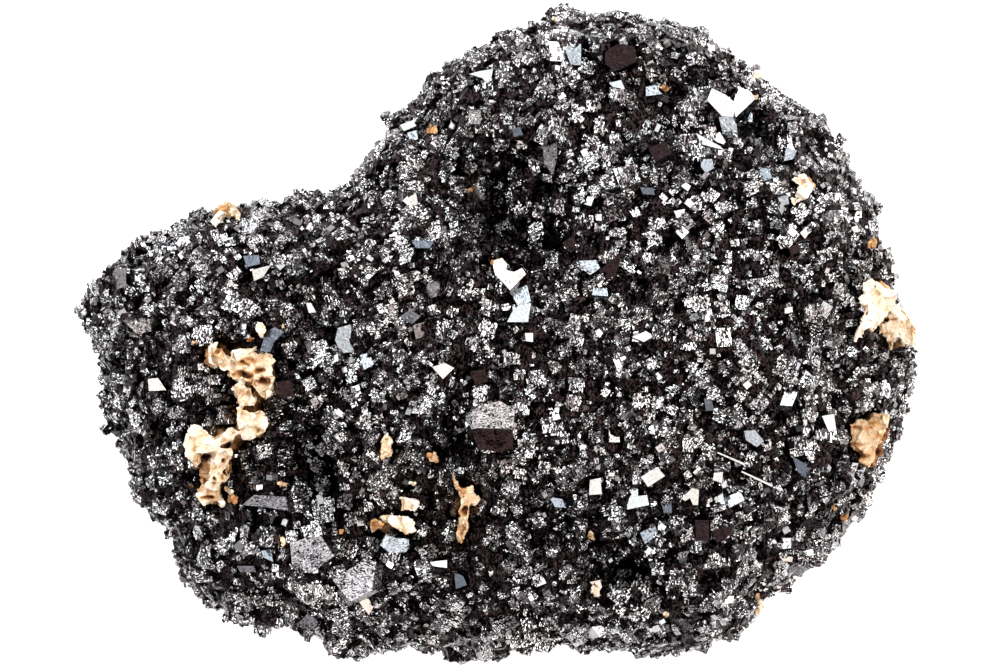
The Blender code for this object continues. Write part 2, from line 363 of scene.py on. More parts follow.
# painted glints: most fine facets bright, the rest nearly black, whatever light they face
PAINTED_GLINT_SHADES = [
    (0.0, (0.01, 0.01, 0.01)),
    (0.36, (0.04, 0.04, 0.04)),
    (0.45, (0.90, 0.90, 0.90)),
    (1.0, (1.0, 1.0, 1.0)),
]
FACET_SIZE = 0.065 * MM
FACE_FACET_SIZE = 0.07 * MM
BLACK_TILTS = (1.0, 0.4)
GROUND_TILTS = (0.9, 0.5)
BLACK_ROUGHNESS = (0.06, 0.28)
GROUND_ROUGHNESS = (0.2, 0.4)
SMOOTH_STEPS, SMOOTH_PARENTS, NONE_SMOOTH = 0.14, 0.06, -0.1
# painted highlight and shade: each drawn face is tilted to mirror a lamp, and its tint paints it white, cream,
# bluish, grey or brown
FACE_PAINTED_LIGHT = {
    # tint, gloss, tilt of its etched facets, how dark its darkest facets are
    "white": ((0.28, 0.28, 0.28), 0.06, 0.16, 0.65),
    "cream": ((0.28, 0.248, 0.228), 0.07, 0.16, 0.65),
    "pale_blue": ((0.155, 0.170, 0.188), 0.09, 0.25, 0.50),
    "blue": ((0.046, 0.052, 0.062), 0.12, 0.20, 0.55),
    "grey": ((0.066, 0.063, 0.067), 0.15, 0.35, 0.30),
    "brown": ((0.0130, 0.0078, 0.0082), 0.20, 0.25, 0.20),
    "etched": ((0.175, 0.165, 0.170), 0.14, 0.50, 0.15),
}

black = (BLACK_SHADES, PAINTED_GLINT_SHADES, FACET_SIZE, BLACK_TILTS)
etched_black = crystal_finish("etched_black", *black, SMOOTH_STEPS, BLACK_ROUGHNESS)
parent_black = crystal_finish("parent_black", *black, SMOOTH_PARENTS, BLACK_ROUGHNESS)
ground = (GROUND_PAINTED_SHADES, PAINTED_GLINT_SHADES, FACET_SIZE, GROUND_TILTS)
painted_shade_ground = crystal_finish("painted_shade_ground", *ground, NONE_SMOOTH, GROUND_ROUGHNESS)
face_finishes = {}
for name, (tint, gloss, tilt, darkest) in FACE_PAINTED_LIGHT.items():
    one_tint = [(0.0, tint), (1.0, tint)]
    painted_glint_shades = [(0.0, (darkest,) * 3), (0.35, (0.8,) * 3), (1.0, (1.0,) * 3)]
    tilts = (tilt, tilt / 2)
    face_finishes[name] = crystal_finish(
        f"{name}_face", one_tint, painted_glint_shades, FACE_FACET_SIZE, tilts, NONE_SMOOTH, (gloss, gloss)
    )
print("finishes:", [material.name for material in bpy.data.materials])

# %% [markdown]
# ## The rock under the crystals
#
# The solid's own skin is the layer that the crystals sit in, and between them it shows as broken ground,
# painted nearly black as shade. A voxel remesh turns its large triangles into an even net fine enough to
# carve. Each point is then pushed in or out by the random height of the cell that it lies in, which makes
# blocky steps like crystals broken off short, and not the round bumps that a cloud texture would give.
# Towards the rim the ground also swells a little, because the solid's rim is drawn in to leave room for
# the crystals.

# %% Reading, moving and marking the points of a mesh
HAIR = 0.5 * MM
OVER_FLOOR = 0.05 * MM


def read_vectors(mesh, kind):
    """The places (kind "co") or outward ways (kind "normal") of a mesh's points, one row each."""
    values = np.empty(len(mesh.vertices) * 3, np.float32)
    mesh.vertices.foreach_get(kind, values)
    return values.reshape(-1, 3)


def corners_of(mesh):
    return read_vectors(mesh, "co").astype(float)


def set_corners(mesh, points):
    mesh.vertices.foreach_set("co", points.astype(np.float32).ravel())
    mesh.update()


def keep_inside(points):
    """Holds points just above the floor and within a hair of the solid's box."""
    low = np.array(solid_box[0]) - (HAIR, HAIR, -OVER_FLOOR)
    high = np.array(solid_box[1]) + HAIR
    return np.clip(points, low, high)


def set_number(mesh, name, values):
    """Stores one number for each point, for a finish to read."""
    attribute = mesh.attributes.new(name, "FLOAT", "POINT")
    attribute.data.foreach_set("value", values.astype(np.float32))


def set_lattice(mesh, points):
    """Stores each point's place in its own crystal's axes, which the etched finish follows."""
    lattice = mesh.attributes.new("lattice", "FLOAT_VECTOR", "POINT")
    lattice.data.foreach_set("vector", points.astype(np.float32).ravel())


# %% [markdown]
# ## Where the shade is painted
#
# The photograph shows which hollows are dark. They are listed by their places in it, and the painted
# shade on a point grows with its nearness to one of them. So the camera's view has to be worked the other
# way round too: from a point of the mesh to its column and row in the picture.

# %% Hollows of the photograph and their painted shade
HOLLOWS = [
    # column, row, half-width and half-height in the picture, strength of the painted shade
    (495, 175, 9, 12, 0.85),
    (499, 198, 9, 14, 0.90),
    (490, 223, 10, 14, 0.90),
    (508, 232, 18, 20, 0.60),
    (544, 189, 12, 12, 1.0),
    (553, 240, 10, 15, 1.0),
    (529, 256, 12, 10, 0.85),
    (478, 268, 12, 7, 0.7),
    (457, 163, 18, 20, 0.6),
    (318, 465, 22, 45, 0.85),
    (345, 510, 20, 30, 0.7),
    (345, 345, 14, 12, 0.5),
    (620, 575, 30, 18, 0.95),
    (692, 223, 11, 8, 1.0),
    (672, 242, 13, 9, 1.0),
    (643, 152, 6, 13, 0.9),
    (705, 186, 8, 9, 0.9),
    (735, 197, 7, 5, 0.9),
    (774, 229, 14, 9, 0.8),
    (700, 78, 22, 14, 0.75),
    (758, 132, 16, 14, 1.0),
    (456, 445, 16, 26, 0.85),
    (250, 500, 20, 12, 0.6),
    (265, 520, 26, 10, 0.7),
    (290, 275, 26, 20, 0.6),
    (240, 395, 16, 12, 0.8),
    (600, 85, 16, 16, 0.6),
    (640, 150, 24, 20, 0.6),
    (690, 400, 26, 10, 0.5),
    (560, 520, 50, 12, 0.5),
    (420, 545, 30, 10, 0.6),
    (830, 520, 24, 14, 0.5),
    (790, 440, 12, 14, 0.7),
    (820, 300, 26, 14, 0.4),
    (150, 300, 40, 8, 0.4),
    (210, 410, 30, 12, 0.5),
    (620, 500, 110, 60, 0.22),
    (310, 420, 50, 60, 0.22),
]
NEAR_EDGE, NEAR_FALL = 1.6, 1.1


def in_picture(points):
    """The columns and rows of the picture at which the camera sees the points."""
    scale = (CAMERA_HEIGHT - WIDEST_LEVEL) / (CAMERA_HEIGHT - points[:, 2]) / PIXEL
    columns = PICTURE_WIDTH / 2 + (points[:, 0] - camera.location.x) * scale
    rows = PICTURE_HEIGHT / 2 - (points[:, 1] - camera.location.y) * scale
    return columns, rows


def nearness(points, spots):
    """How near each point is to the named spots of the picture, times each spot's strength."""
    columns, rows = in_picture(points)
    most = np.zeros(len(points))
    for column, row, wide, high, strength in spots:
        away = np.hypot((columns - column) / wide, (rows - row) / high)
        most = np.maximum(most, strength * np.clip(NEAR_EDGE - NEAR_FALL * away, 0.0, 1.0))
    return most


def set_painted_shade(mesh, points, least=0.0):
    """Stores how much painted shade darkens each point: the least it has anywhere, most in a named hollow."""
    set_number(mesh, "painted_shade", np.maximum(nearness(points, HOLLOWS), least))


print("hollows:", len(HOLLOWS))

# %% [markdown]
# ## Carving the ground
#
# Both the ground and the matrix are remeshed in small voxels, so that step is a function. It works its
# modifiers into the mesh at once, because the points are moved one by one afterwards.

# %% Remesh the skin and break it into steps
SKIN_VOXEL = 0.36 * MM
SKIN_SMOOTHING = 10
SKIN_SMOOTHNESS = 0.5
BLOCK_SIZE = 0.9 * MM
BLOCK_HEIGHT = 0.42 * MM
RIM_SWELL = 0.35 * MM
SKIN_DROP = 0.1 * MM
CELL_STRIDE = 7.31


def add_voxel_remesh(piece, voxel):
    remesh = piece.modifiers.new("remesh", "REMESH")
    remesh.mode = "VOXEL"
    remesh.voxel_size = voxel


def work_in_modifiers(piece):
    """Replaces an object's mesh by what its modifiers make of it."""
    graph = bpy.context.evaluated_depsgraph_get()
    piece.data = bpy.data.meshes.new_from_object(piece.evaluated_get(graph))
    piece.modifiers.clear()


def block_height(point, size):
    """The random height, from -0.5 to 0.5, of the cell that a point lies in."""
    _, places = noise.voronoi(Vector(point) / size, distance_metric="DISTANCE")
    return noise.cell(places[0] * CELL_STRIDE) - 0.5


rock = add_object("crystal_ground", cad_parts[ROCK].data.copy())
add_voxel_remesh(rock, SKIN_VOXEL)
smooth = rock.modifiers.new("smooth", "SMOOTH")
smooth.factor, smooth.iterations = SKIN_SMOOTHNESS, SKIN_SMOOTHING
work_in_modifiers(rock)
rock.data.name = "crystal_ground"
points = corners_of(rock.data)
outward = read_vectors(rock.data, "normal")
rise = np.array([block_height(point, BLOCK_SIZE) for point in points]) * BLOCK_HEIGHT
swell = RIM_SWELL * (1.0 - np.abs(outward[:, 2])) - SKIN_DROP
set_corners(rock.data, keep_inside(points + outward * (rise + swell)[:, None]))
rock.data.materials.clear()
# painted shade: the ground's nearly black finish, darker still in the listed hollows
rock.data.materials.append(painted_shade_ground)
set_lattice(rock.data, corners_of(rock.data))
set_painted_shade(rock.data, corners_of(rock.data))
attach(rock, "root")
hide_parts(ROCK)
print("ground quads:", len(rock.data.polygons))

# %% [markdown]
# ## Finding the ground again
#
# Later pieces need to know where the ground lies under a point of the picture. A search tree over its
# triangles answers that: the camera's sight line is followed until it meets one.

# %% A search tree over the ground
rng = np.random.default_rng(20)


def triangle_tree(objects):
    """One search tree over the triangles of several objects."""
    every_corner, every_face = [], []
    for obj in objects:
        obj.data.calc_loop_triangles()
        start = len(every_corner)
        every_corner.extend(vertex.co.copy() for vertex in obj.data.vertices)
        every_face.extend([start + index for index in face.vertices] for face in obj.data.loop_triangles)
    return BVHTree.FromPolygons(every_corner, every_face)


ground_tree = triangle_tree([rock])


def ground_under(column, row):
    """The spot of the ground under a point of the picture, and the way out of the ground there."""
    ray = sight_line(column, row)
    spot, out, _, _ = ground_tree.ray_cast(camera.location, ray)
    if spot is None:
        beside = camera.location + ray * ((WIDEST_LEVEL - CAMERA_HEIGHT) / ray.z)
        spot, out, _, _ = ground_tree.find_nearest(beside)
    return spot, out


print("ground under the picture's middle, in mm:", [round(x / MM, 1) for x in ground_under(500, 333)[0]])

# %% [markdown]
# ## Many cubes as one mesh
#
# Tens of thousands of separate objects would be slow, so the crystals are computed as arrays and written
# into a few meshes. A crystal is a middle, a rotation and three unequal sides. The eight corners of a
# unit cube are stretched, turned and moved for all crystals in one multiplication. Each crystal gets its
# own far-off place in the etching pattern, so that no two are etched alike.

# %% Cubes from arrays
CUBE_CORNERS = np.array([(x, y, z) for x in (-0.5, 0.5) for y in (-0.5, 0.5) for z in (-0.5, 0.5)])
CUBE_FACES = np.array([(0, 1, 3, 2), (4, 6, 7, 5), (0, 4, 5, 1), (2, 3, 7, 6), (0, 2, 6, 4), (1, 5, 7, 3)])
FAR_APART = 1000.0


def turns_from_axes(axes, angles):
    """Rotation matrices about the given unit axes, by the given angles in radians."""
    x, y, z = axes.T
    zero = np.zeros_like(x)
    cross = np.stack([zero, -z, y, z, zero, -x, -y, x, zero], axis=1).reshape(-1, 3, 3)
    sine = np.sin(angles)[:, None, None]
    rest = (1.0 - np.cos(angles))[:, None, None]
    return np.eye(3) + sine * cross + rest * (cross @ cross)


def random_axes(count):
    axes = rng.normal(size=(count, 3))
    return axes / np.linalg.norm(axes, axis=1, keepdims=True)


def random_turns(count):
    return turns_from_axes(random_axes(count), rng.uniform(0.0, math.pi, count))


def small_turns(count, degrees):
    """Rotations by a few degrees, as between crystals that grew nearly parallel."""
    return turns_from_axes(random_axes(count), rng.normal(0.0, math.radians(degrees), count))


def crystal_piece(name, middles, turns, sides, material, painted_shade=0.0):
    """One object made of many cubes, with the least painted shade that each of them has."""
    own = CUBE_CORNERS[None] * sides[:, None, :]
    corners = np.einsum("nij,nkj->nki", turns, own) + middles[:, None, :]
    corners = keep_inside(corners.reshape(-1, 3))
    apart = rng.uniform(0.0, FAR_APART, (len(middles), 1, 3)) * MM
    faces = (CUBE_FACES[None] + 8 * np.arange(len(middles))[:, None, None]).reshape(-1, 4)
    mesh = bpy.data.meshes.new(name)
    mesh.from_pydata(corners.tolist(), [], faces.tolist())
    mesh.materials.append(material)
    set_lattice(mesh, (own + apart).reshape(-1, 3))
    set_painted_shade(mesh, np.repeat(middles, 8, axis=0), np.repeat(painted_shade, 8) if np.ndim(painted_shade) else painted_shade)
    piece = add_object(name, mesh)
    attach(piece, "root")
    print(f"{name}: {len(middles)} crystals, {12 * len(middles)} triangles")


# %% [markdown]
# ## Pale matrix
#
# The matrix is soft, flaky rock: cream and clean on its outer lobes, rust-brown and dark in the cavities
# between them, partly from rust and partly from painted shade. Its solids are plain lumps. On each the lobes
# are drawn by their corners in the picture, as thin slabs that follow the solid's own surface, and the lump
# itself is sunk under them. A voxel remesh melts slabs and lump into one body. Noise breaks its skin into
# flakes, and the named cavities are pressed in. How deep a point lies is kept as a number on the mesh,
# because the rust and the painted shade sit in the deep places.

# %% Lobes of flaky matrix over the plain lumps
MATRIX_LOBES = {
    # node: (height over the solid in mm, corners in the picture) of each lobe
    "pale_matrix_left": [
        (0.25, [(210, 343), (219, 341), (217, 351), (230, 358), (231, 369), (226, 371), (215, 367), (209, 362)]),
        (0.30, [(232, 352), (241, 349), (258, 347), (272, 354), (277, 361), (272, 366), (275, 381), (277, 391),
                (265, 401), (258, 395), (253, 386), (241, 380), (231, 381), (229, 371)]),
        (0.20, [(231, 386), (241, 381), (249, 388), (257, 399), (254, 407), (239, 407), (237, 397)]),
        (0.45, [(236, 407), (253, 412), (261, 409), (270, 419), (264, 432), (249, 441), (241, 439), (239, 428)]),
        (0.35, [(190, 425), (198, 426), (207, 432), (215, 439), (230, 427), (238, 432), (234, 440), (220, 445),
                (217, 453), (204, 454), (201, 463), (196, 469), (187, 458), (183, 446)]),
        (0.20, [(218, 448), (232, 448), (232, 463), (231, 477), (225, 483), (213, 482), (208, 473), (208, 460)]),
        (0.30, [(210, 479), (221, 485), (221, 493), (225, 504), (222, 507), (213, 502), (204, 505), (196, 495),
                (203, 487)]),
        (0.25, [(224, 485), (234, 491), (232, 495), (226, 491)]),
    ],
    "pale_matrix_left_rim": [
        (0.20, [(220, 211), (227, 212), (223, 220), (216, 228), (211, 221)]),
        (0.20, [(229, 211), (232, 207), (237, 212), (232, 216)]),
        (0.10, [(234, 219), (238, 214), (242, 217), (240, 221)]),
    ],
    "pale_matrix_upper_right": [
        (0.30, [(791, 179), (804, 173), (809, 180), (815, 185), (809, 197), (803, 203), (799, 202), (796, 207),
                (792, 205), (790, 198), (797, 191), (800, 184), (793, 182)]),
    ],
    "pale_matrix_oval": [
        (0.40, [(387, 433), (392, 438), (394, 442), (392, 447), (392, 457), (386, 457), (382, 463), (379, 457),
                (381, 450), (380, 443), (383, 437)]),
    ],
    "pale_matrix_lower_ledge": [
        (0.50, [(380, 517), (392, 515), (414, 518), (416, 531), (410, 533), (401, 531), (392, 526)]),
        (0.40, [(399, 497), (407, 497), (415, 500), (419, 502), (415, 512), (400, 512)]),
    ],
    "pale_matrix_lower_strip": [
        (0.30, [(453, 475), (459, 480), (460, 488), (473, 485), (474, 490), (480, 499), (475, 505), (470, 504),
                (470, 513), (467, 521), (458, 513), (462, 506), (461, 497), (455, 486)]),
        (0.40, [(457, 514), (468, 520), (469, 528), (464, 539), (461, 545), (456, 537), (458, 526)]),
    ],
    "pale_matrix_right_upper": [
        (0.30, [(872, 277), (884, 289), (896, 292), (896, 304), (886, 316), (875, 329), (854, 343), (858, 327),
                (863, 315), (858, 298), (863, 295), (863, 282)]),
        (0.30, [(896, 316), (907, 315), (917, 326), (916, 344), (912, 347), (902, 344), (899, 337), (893, 344),
                (893, 351), (888, 351), (886, 337), (879, 334), (879, 325)]),
        (0.10, [(896, 304), (903, 308), (910, 316), (896, 318), (886, 322), (886, 316)]),
    ],
    "pale_matrix_right_lower": [
        (0.30, [(872, 412), (889, 415), (887, 428), (882, 441), (877, 444), (874, 457), (868, 467), (857, 460),
                (858, 453), (850, 447), (851, 437), (850, 425), (858, 419), (868, 420)]),
    ],
}
CAVITIES = [
    # column, row, half-width and half-height in the picture, strength
    (250, 361, 8, 4, 0.7),
    (258, 371, 7, 3, 0.45),
    (241, 375, 9, 4, 0.8),
    (265, 381, 6, 4, 0.7),
    (252, 388, 2, 7, 1.0),
    (218, 348, 3, 3, 0.7),
    (204, 458, 4, 4, 1.0),
    (228, 446, 4, 3, 0.8),
    (225, 461, 2, 2, 0.8),
    (208, 498, 7, 2, 0.8),
    (214, 481, 2, 4, 0.9),
    (229, 473, 3, 3, 1.0),
    (464, 512, 5, 5, 0.7),
    (892, 319, 8, 2, 0.7),
    (863, 428, 10, 2, 0.35),
    (856, 445, 9, 2, 0.45),
    (865, 456, 6, 2, 0.35),
]
LOBE_ROOT = 1.8 * MM
LOBE_FALL = 0.9 * MM
LUMP_SINK = 1.6 * MM
print("lobes:", sum(len(lobes) for lobes in MATRIX_LOBES.values()), "cavities:", len(CAVITIES))

# %% [markdown]
# ## The matrix's finish
#
# The rock is dull and soft, so its colour does the work. One ramp runs from cream through orange to dark
# brown and near black; its darkest end is painted shade for the deep places. The number stored on the mesh
# drives it, and a cloud texture shifts it a little, so that no two flakes are quite alike.

# %% From stain to colour
MATRIX_STAIN = {
    # 0 is fresh and cream, 0.5 is orange
    "pale_matrix_left": 0.08,
    "pale_matrix_left_rim": 0.0,
    "pale_matrix_lower_ledge": 0.08,
    "pale_matrix_lower_strip": 0.20,
    "pale_matrix_oval": 0.14,
    "pale_matrix_right_lower": 0.26,
    "pale_matrix_right_upper": 0.04,
    "pale_matrix_upper_right": 0.0,
}
# cream to rust is the rock's own colour; the near-black end is painted shade for cavities and sunk places
MATRIX_SHADES = [
    (0.0, (0.54, 0.475, 0.41)),
    (0.20, (0.44, 0.335, 0.225)),
    (0.42, (0.31, 0.155, 0.06)),
    (0.66, (0.11, 0.036, 0.010)),
    (1.0, (0.020, 0.008, 0.004)),
]
MATRIX_ROUGHNESS = 0.92
MATRIX_GLOSS = 0.2
CLOUD_SIZE = 0.9 * MM
CLOUD_SHIFT = 0.16


def matrix_finish():
    material, tree, shader = new_finish("flaky_matrix")
    shader.inputs["Roughness"].default_value = MATRIX_ROUGHNESS
    shader.inputs["Specular IOR Level"].default_value = MATRIX_GLOSS
    place = new_node(tree, "ShaderNodeTexCoord")
    rust_and_shade = new_node(tree, "ShaderNodeAttribute", attribute_name="rust_and_shade")
    cloud = new_node(tree, "ShaderNodeTexNoise")
    cloud.inputs["Scale"].default_value = 1.0 / CLOUD_SIZE
    cloud.inputs["Detail"].default_value = 6.0
    link(tree, place, "Object", cloud, "Vector")
    shift = value_range(tree, cloud, "Fac", -CLOUD_SHIFT, CLOUD_SHIFT, 0.25, 0.75)
    total = new_node(tree, "ShaderNodeMath", operation="ADD")
    link(tree, rust_and_shade, "Fac", total, 0)
    link(tree, shift, "Result", total, 1)
    colour = ramp(tree, total, "Value", MATRIX_SHADES)
    link(tree, colour, "Color", shader, "Base Color")
    return material


flaky_matrix = matrix_finish()
print("matrix finish:", flaky_matrix.name, "for", len(MATRIX_STAIN), "lumps")

# %% [markdown]
# ## Lobes as slabs
#
# A lobe's corners are carried along the camera's sight lines to the height of the solids' own surface, so
# that it sits where the photograph shows it and never floats. Its foot reaches deep enough to melt into
# the lump beneath.

# %% A slab over an outline
solid_tree = triangle_tree(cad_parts.values())


def solid_level(column, row):
    """The height of the solids' surface under a point of the picture, also just beside the rim."""
    ray = sight_line(column, row)
    spot = solid_tree.ray_cast(camera.location, ray)[0]
    if spot is None:
        spot = solid_tree.find_nearest(camera.location + ray * ((WIDEST_LEVEL - CAMERA_HEIGHT) / ray.z))[0]
    return spot.z


def add_lobe(shape, outline, height):
    """Adds a slab over the given outline in the picture, following the solids' surface."""
    top, foot = [], []
    levels = [solid_level(column, row) for column, row in outline]
    for (column, row), level in zip(outline, levels):
        ray = sight_line(column, row)
        level = max(level, max(levels) - LOBE_FALL)
        top.append(shape.verts.new(camera.location + ray * ((level + height - CAMERA_HEIGHT) / ray.z)))
        foot.append(shape.verts.new(camera.location + ray * ((level - LOBE_ROOT - CAMERA_HEIGHT) / ray.z)))
    turning = sum(a[0] * b[1] - b[0] * a[1] for a, b in zip(outline, outline[1:] + outline[:1]))
    if turning > 0:
        top.reverse()
        foot.reverse()
    shape.faces.new(top)
    shape.faces.new(foot[::-1])
    for i in range(len(top)):
        shape.faces.new((top[i - 1], foot[i - 1], foot[i], top[i]))


ledge = MATRIX_LOBES["pale_matrix_lower_ledge"][0][1]
print("solid under the ledge's corners, in mm:", [round(solid_level(*corner) / MM, 1) for corner in ledge])

# %% [markdown]
# ## Melting and crumbling
#
# The remesh melts slabs and lump together. After it, blocky ledges and noisy pits break the skin, the
# named cavities are pressed in, and each point's rust and painted shade are worked out from how deep it
# lies. A lump could be sculpted and painted by hand too, but this way the rust and the painted shade always
# follow the shape.

# %% One flaky body for each lump
MATRIX_VOXEL = 0.085 * MM
FLAKE_SIZE = 0.7 * MM
LEDGE_SIZE = 0.80 * MM
FINE_LEDGE_SIZE = 0.30 * MM
LEDGE_HEIGHT = 0.16 * MM
PIT_DEPTH = 0.18 * MM
CAVITY_DEPTH = 0.45 * MM


def melt(name, shape):
    """Melts a bmesh of slabs into one body and puts it in the scene."""
    mesh = bpy.data.meshes.new(name)
    shape.to_mesh(mesh)
    shape.free()
    piece = add_object(name, mesh)
    add_voxel_remesh(piece, MATRIX_VOXEL)
    work_in_modifiers(piece)
    return piece


def ledge_height(spot):
    return block_height(spot, LEDGE_SIZE) + 0.4 * block_height(spot, FINE_LEDGE_SIZE)


def crumble(piece, base_stain):
    """Breaks a body's skin into flakes and colours it, from base_stain upwards: rust, with painted shade in the
    pits, cavities and sunk places.
    """
    spots = corners_of(piece.data)
    outs = read_vectors(piece.data, "normal")
    rough = np.array([noise.fractal(Vector(spot) / FLAKE_SIZE, 0.8, 2.1, 4) for spot in spots])
    pits = np.clip(-rough, 0.0, 1.0)
    cavities = nearness(spots, CAVITIES)
    cavities = np.clip(cavities * (1.1 - 0.9 * rough) - 0.1, 0.0, 1.0) * np.clip(outs[:, 2], 0.2, 1.0)
    ledges = np.array([ledge_height(spot) for spot in spots])
    levels = np.array([solid_level(column, row) for column, row in zip(*in_picture(spots))])
    sunk = np.clip((levels - spots[:, 2]) / MM - 0.25, 0.0, 0.8)
    depth = LEDGE_HEIGHT * ledges - PIT_DEPTH * pits - CAVITY_DEPTH * cavities
    set_corners(piece.data, keep_inside(spots + outs * depth[:, None]))
    # rust from base_stain, plus painted shade in pits, cavities and sunk places, a little less on raised ledges
    set_number(piece.data, "rust_and_shade", base_stain + 0.25 * pits + 0.8 * cavities + 0.35 * sunk - 0.10 * ledges)
    piece.data.materials.clear()
    piece.data.materials.append(flaky_matrix)
    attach(piece, "root")
    print(piece.name, "quads:", len(piece.data.polygons))


def matrix_piece(node):
    shape = bmesh.new()
    shape.from_mesh(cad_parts[node].data)
    for vertex in shape.verts:
        vertex.co.z -= LUMP_SINK
    for height, outline in MATRIX_LOBES[node]:
        add_lobe(shape, outline, height * MM)
    piece = melt(f"flaky_{node}", shape)
    crumble(piece, MATRIX_STAIN[node])
    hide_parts(node)
    return piece


matrix_pieces = [matrix_piece(node) for node in MATRIX_LOBES]

# %% [markdown]
# ## Stray grains of matrix
#
# Smaller grains of the same rock are scattered between the crystals, many of them rusty. They are too
# small to be solids of their own. Each is one jagged slab where the photograph shows a grain.

# %% Grains where the photograph shows them
GRAINS = [
    # column, row, half-width and half-height in the picture, stain
    (433, 458, 7, 6, 0.30),
    (590, 537, 6, 7, 0.20),
    (376, 524, 8, 8, 0.36),
    (412, 483, 4, 3, 0.05),
    (432, 129, 6, 6, 0.42),
    (664, 87, 6, 5, 0.40),
    (555, 19, 4, 3, 0.10),
    (757, 76, 5, 6, 0.05),
    (758, 97, 5, 3, 0.02),
    (701, 534, 3, 4, 0.45),
    (834, 508, 3, 4, 0.30),
    (845, 517, 4, 6, 0.45),
    (758, 605, 5, 12, 0.15),
    (666, 615, 4, 3, 0.10),
    (596, 590, 6, 7, 0.05),
    (261, 330, 5, 7, 0.10),
    (283, 326, 3, 4, 0.15),
    (250, 339, 5, 4, 0.50),
    (195, 342, 6, 3, 0.20),
    (341, 531, 3, 3, 0.25),
    (283, 541, 3, 5, 0.30),
    (283, 484, 6, 4, 0.12),
    (232, 500, 6, 6, 0.50),
    (872, 243, 5, 5, 0.40),
    (497, 262, 8, 4, 0.60),
    (470, 190, 4, 3, 0.50),
]
GRAIN_CORNERS = 9
GRAIN_HEIGHT = 0.45 * MM
CORNER_SHIFT = 0.3
CORNER_REACH = (0.55, 1.15)


def grain_stains(spots):
    """The stain of the grain nearest to each point."""
    return np.array([GRAINS[grain_places.find(spot)[1]][4] for spot in spots])


grain_places = KDTree(len(GRAINS))
heap = bmesh.new()
for index, (column, row, wide, high, _) in enumerate(GRAINS):
    grain_places.insert(ground_under(column, row)[0], index)
    shifts = rng.uniform(-CORNER_SHIFT, CORNER_SHIFT, GRAIN_CORNERS)
    around = (np.arange(GRAIN_CORNERS) + shifts) * (2 * math.pi / GRAIN_CORNERS)
    reach = rng.uniform(*CORNER_REACH, GRAIN_CORNERS)
    outline = [(column + wide * r * math.cos(a), row + high * r * math.sin(a)) for a, r in zip(around, reach)]
    add_lobe(heap, outline, GRAIN_HEIGHT)
grain_places.balance()
grains = melt("stray_grains", heap)
crumble(grains, grain_stains(corners_of(grains.data)))
matrix_pieces.append(grains)

# %% [markdown]
# ## The faces that catch the eye
#
# Some crystals in the photograph are large and smooth enough to know again: a white V of two crystals
# grown together, a cream one over a bluish one, a blunt brown cube. Each is drawn here by the corners of
# its face in the picture. The corners are carried along the camera's sight lines onto a plane over the
# ground. That plane is tilted half-way between the camera and a lamp, since only a face tilted so throws
# the lamp into the camera. Pushed back into the rock by a millimetre, the face becomes a crystal.

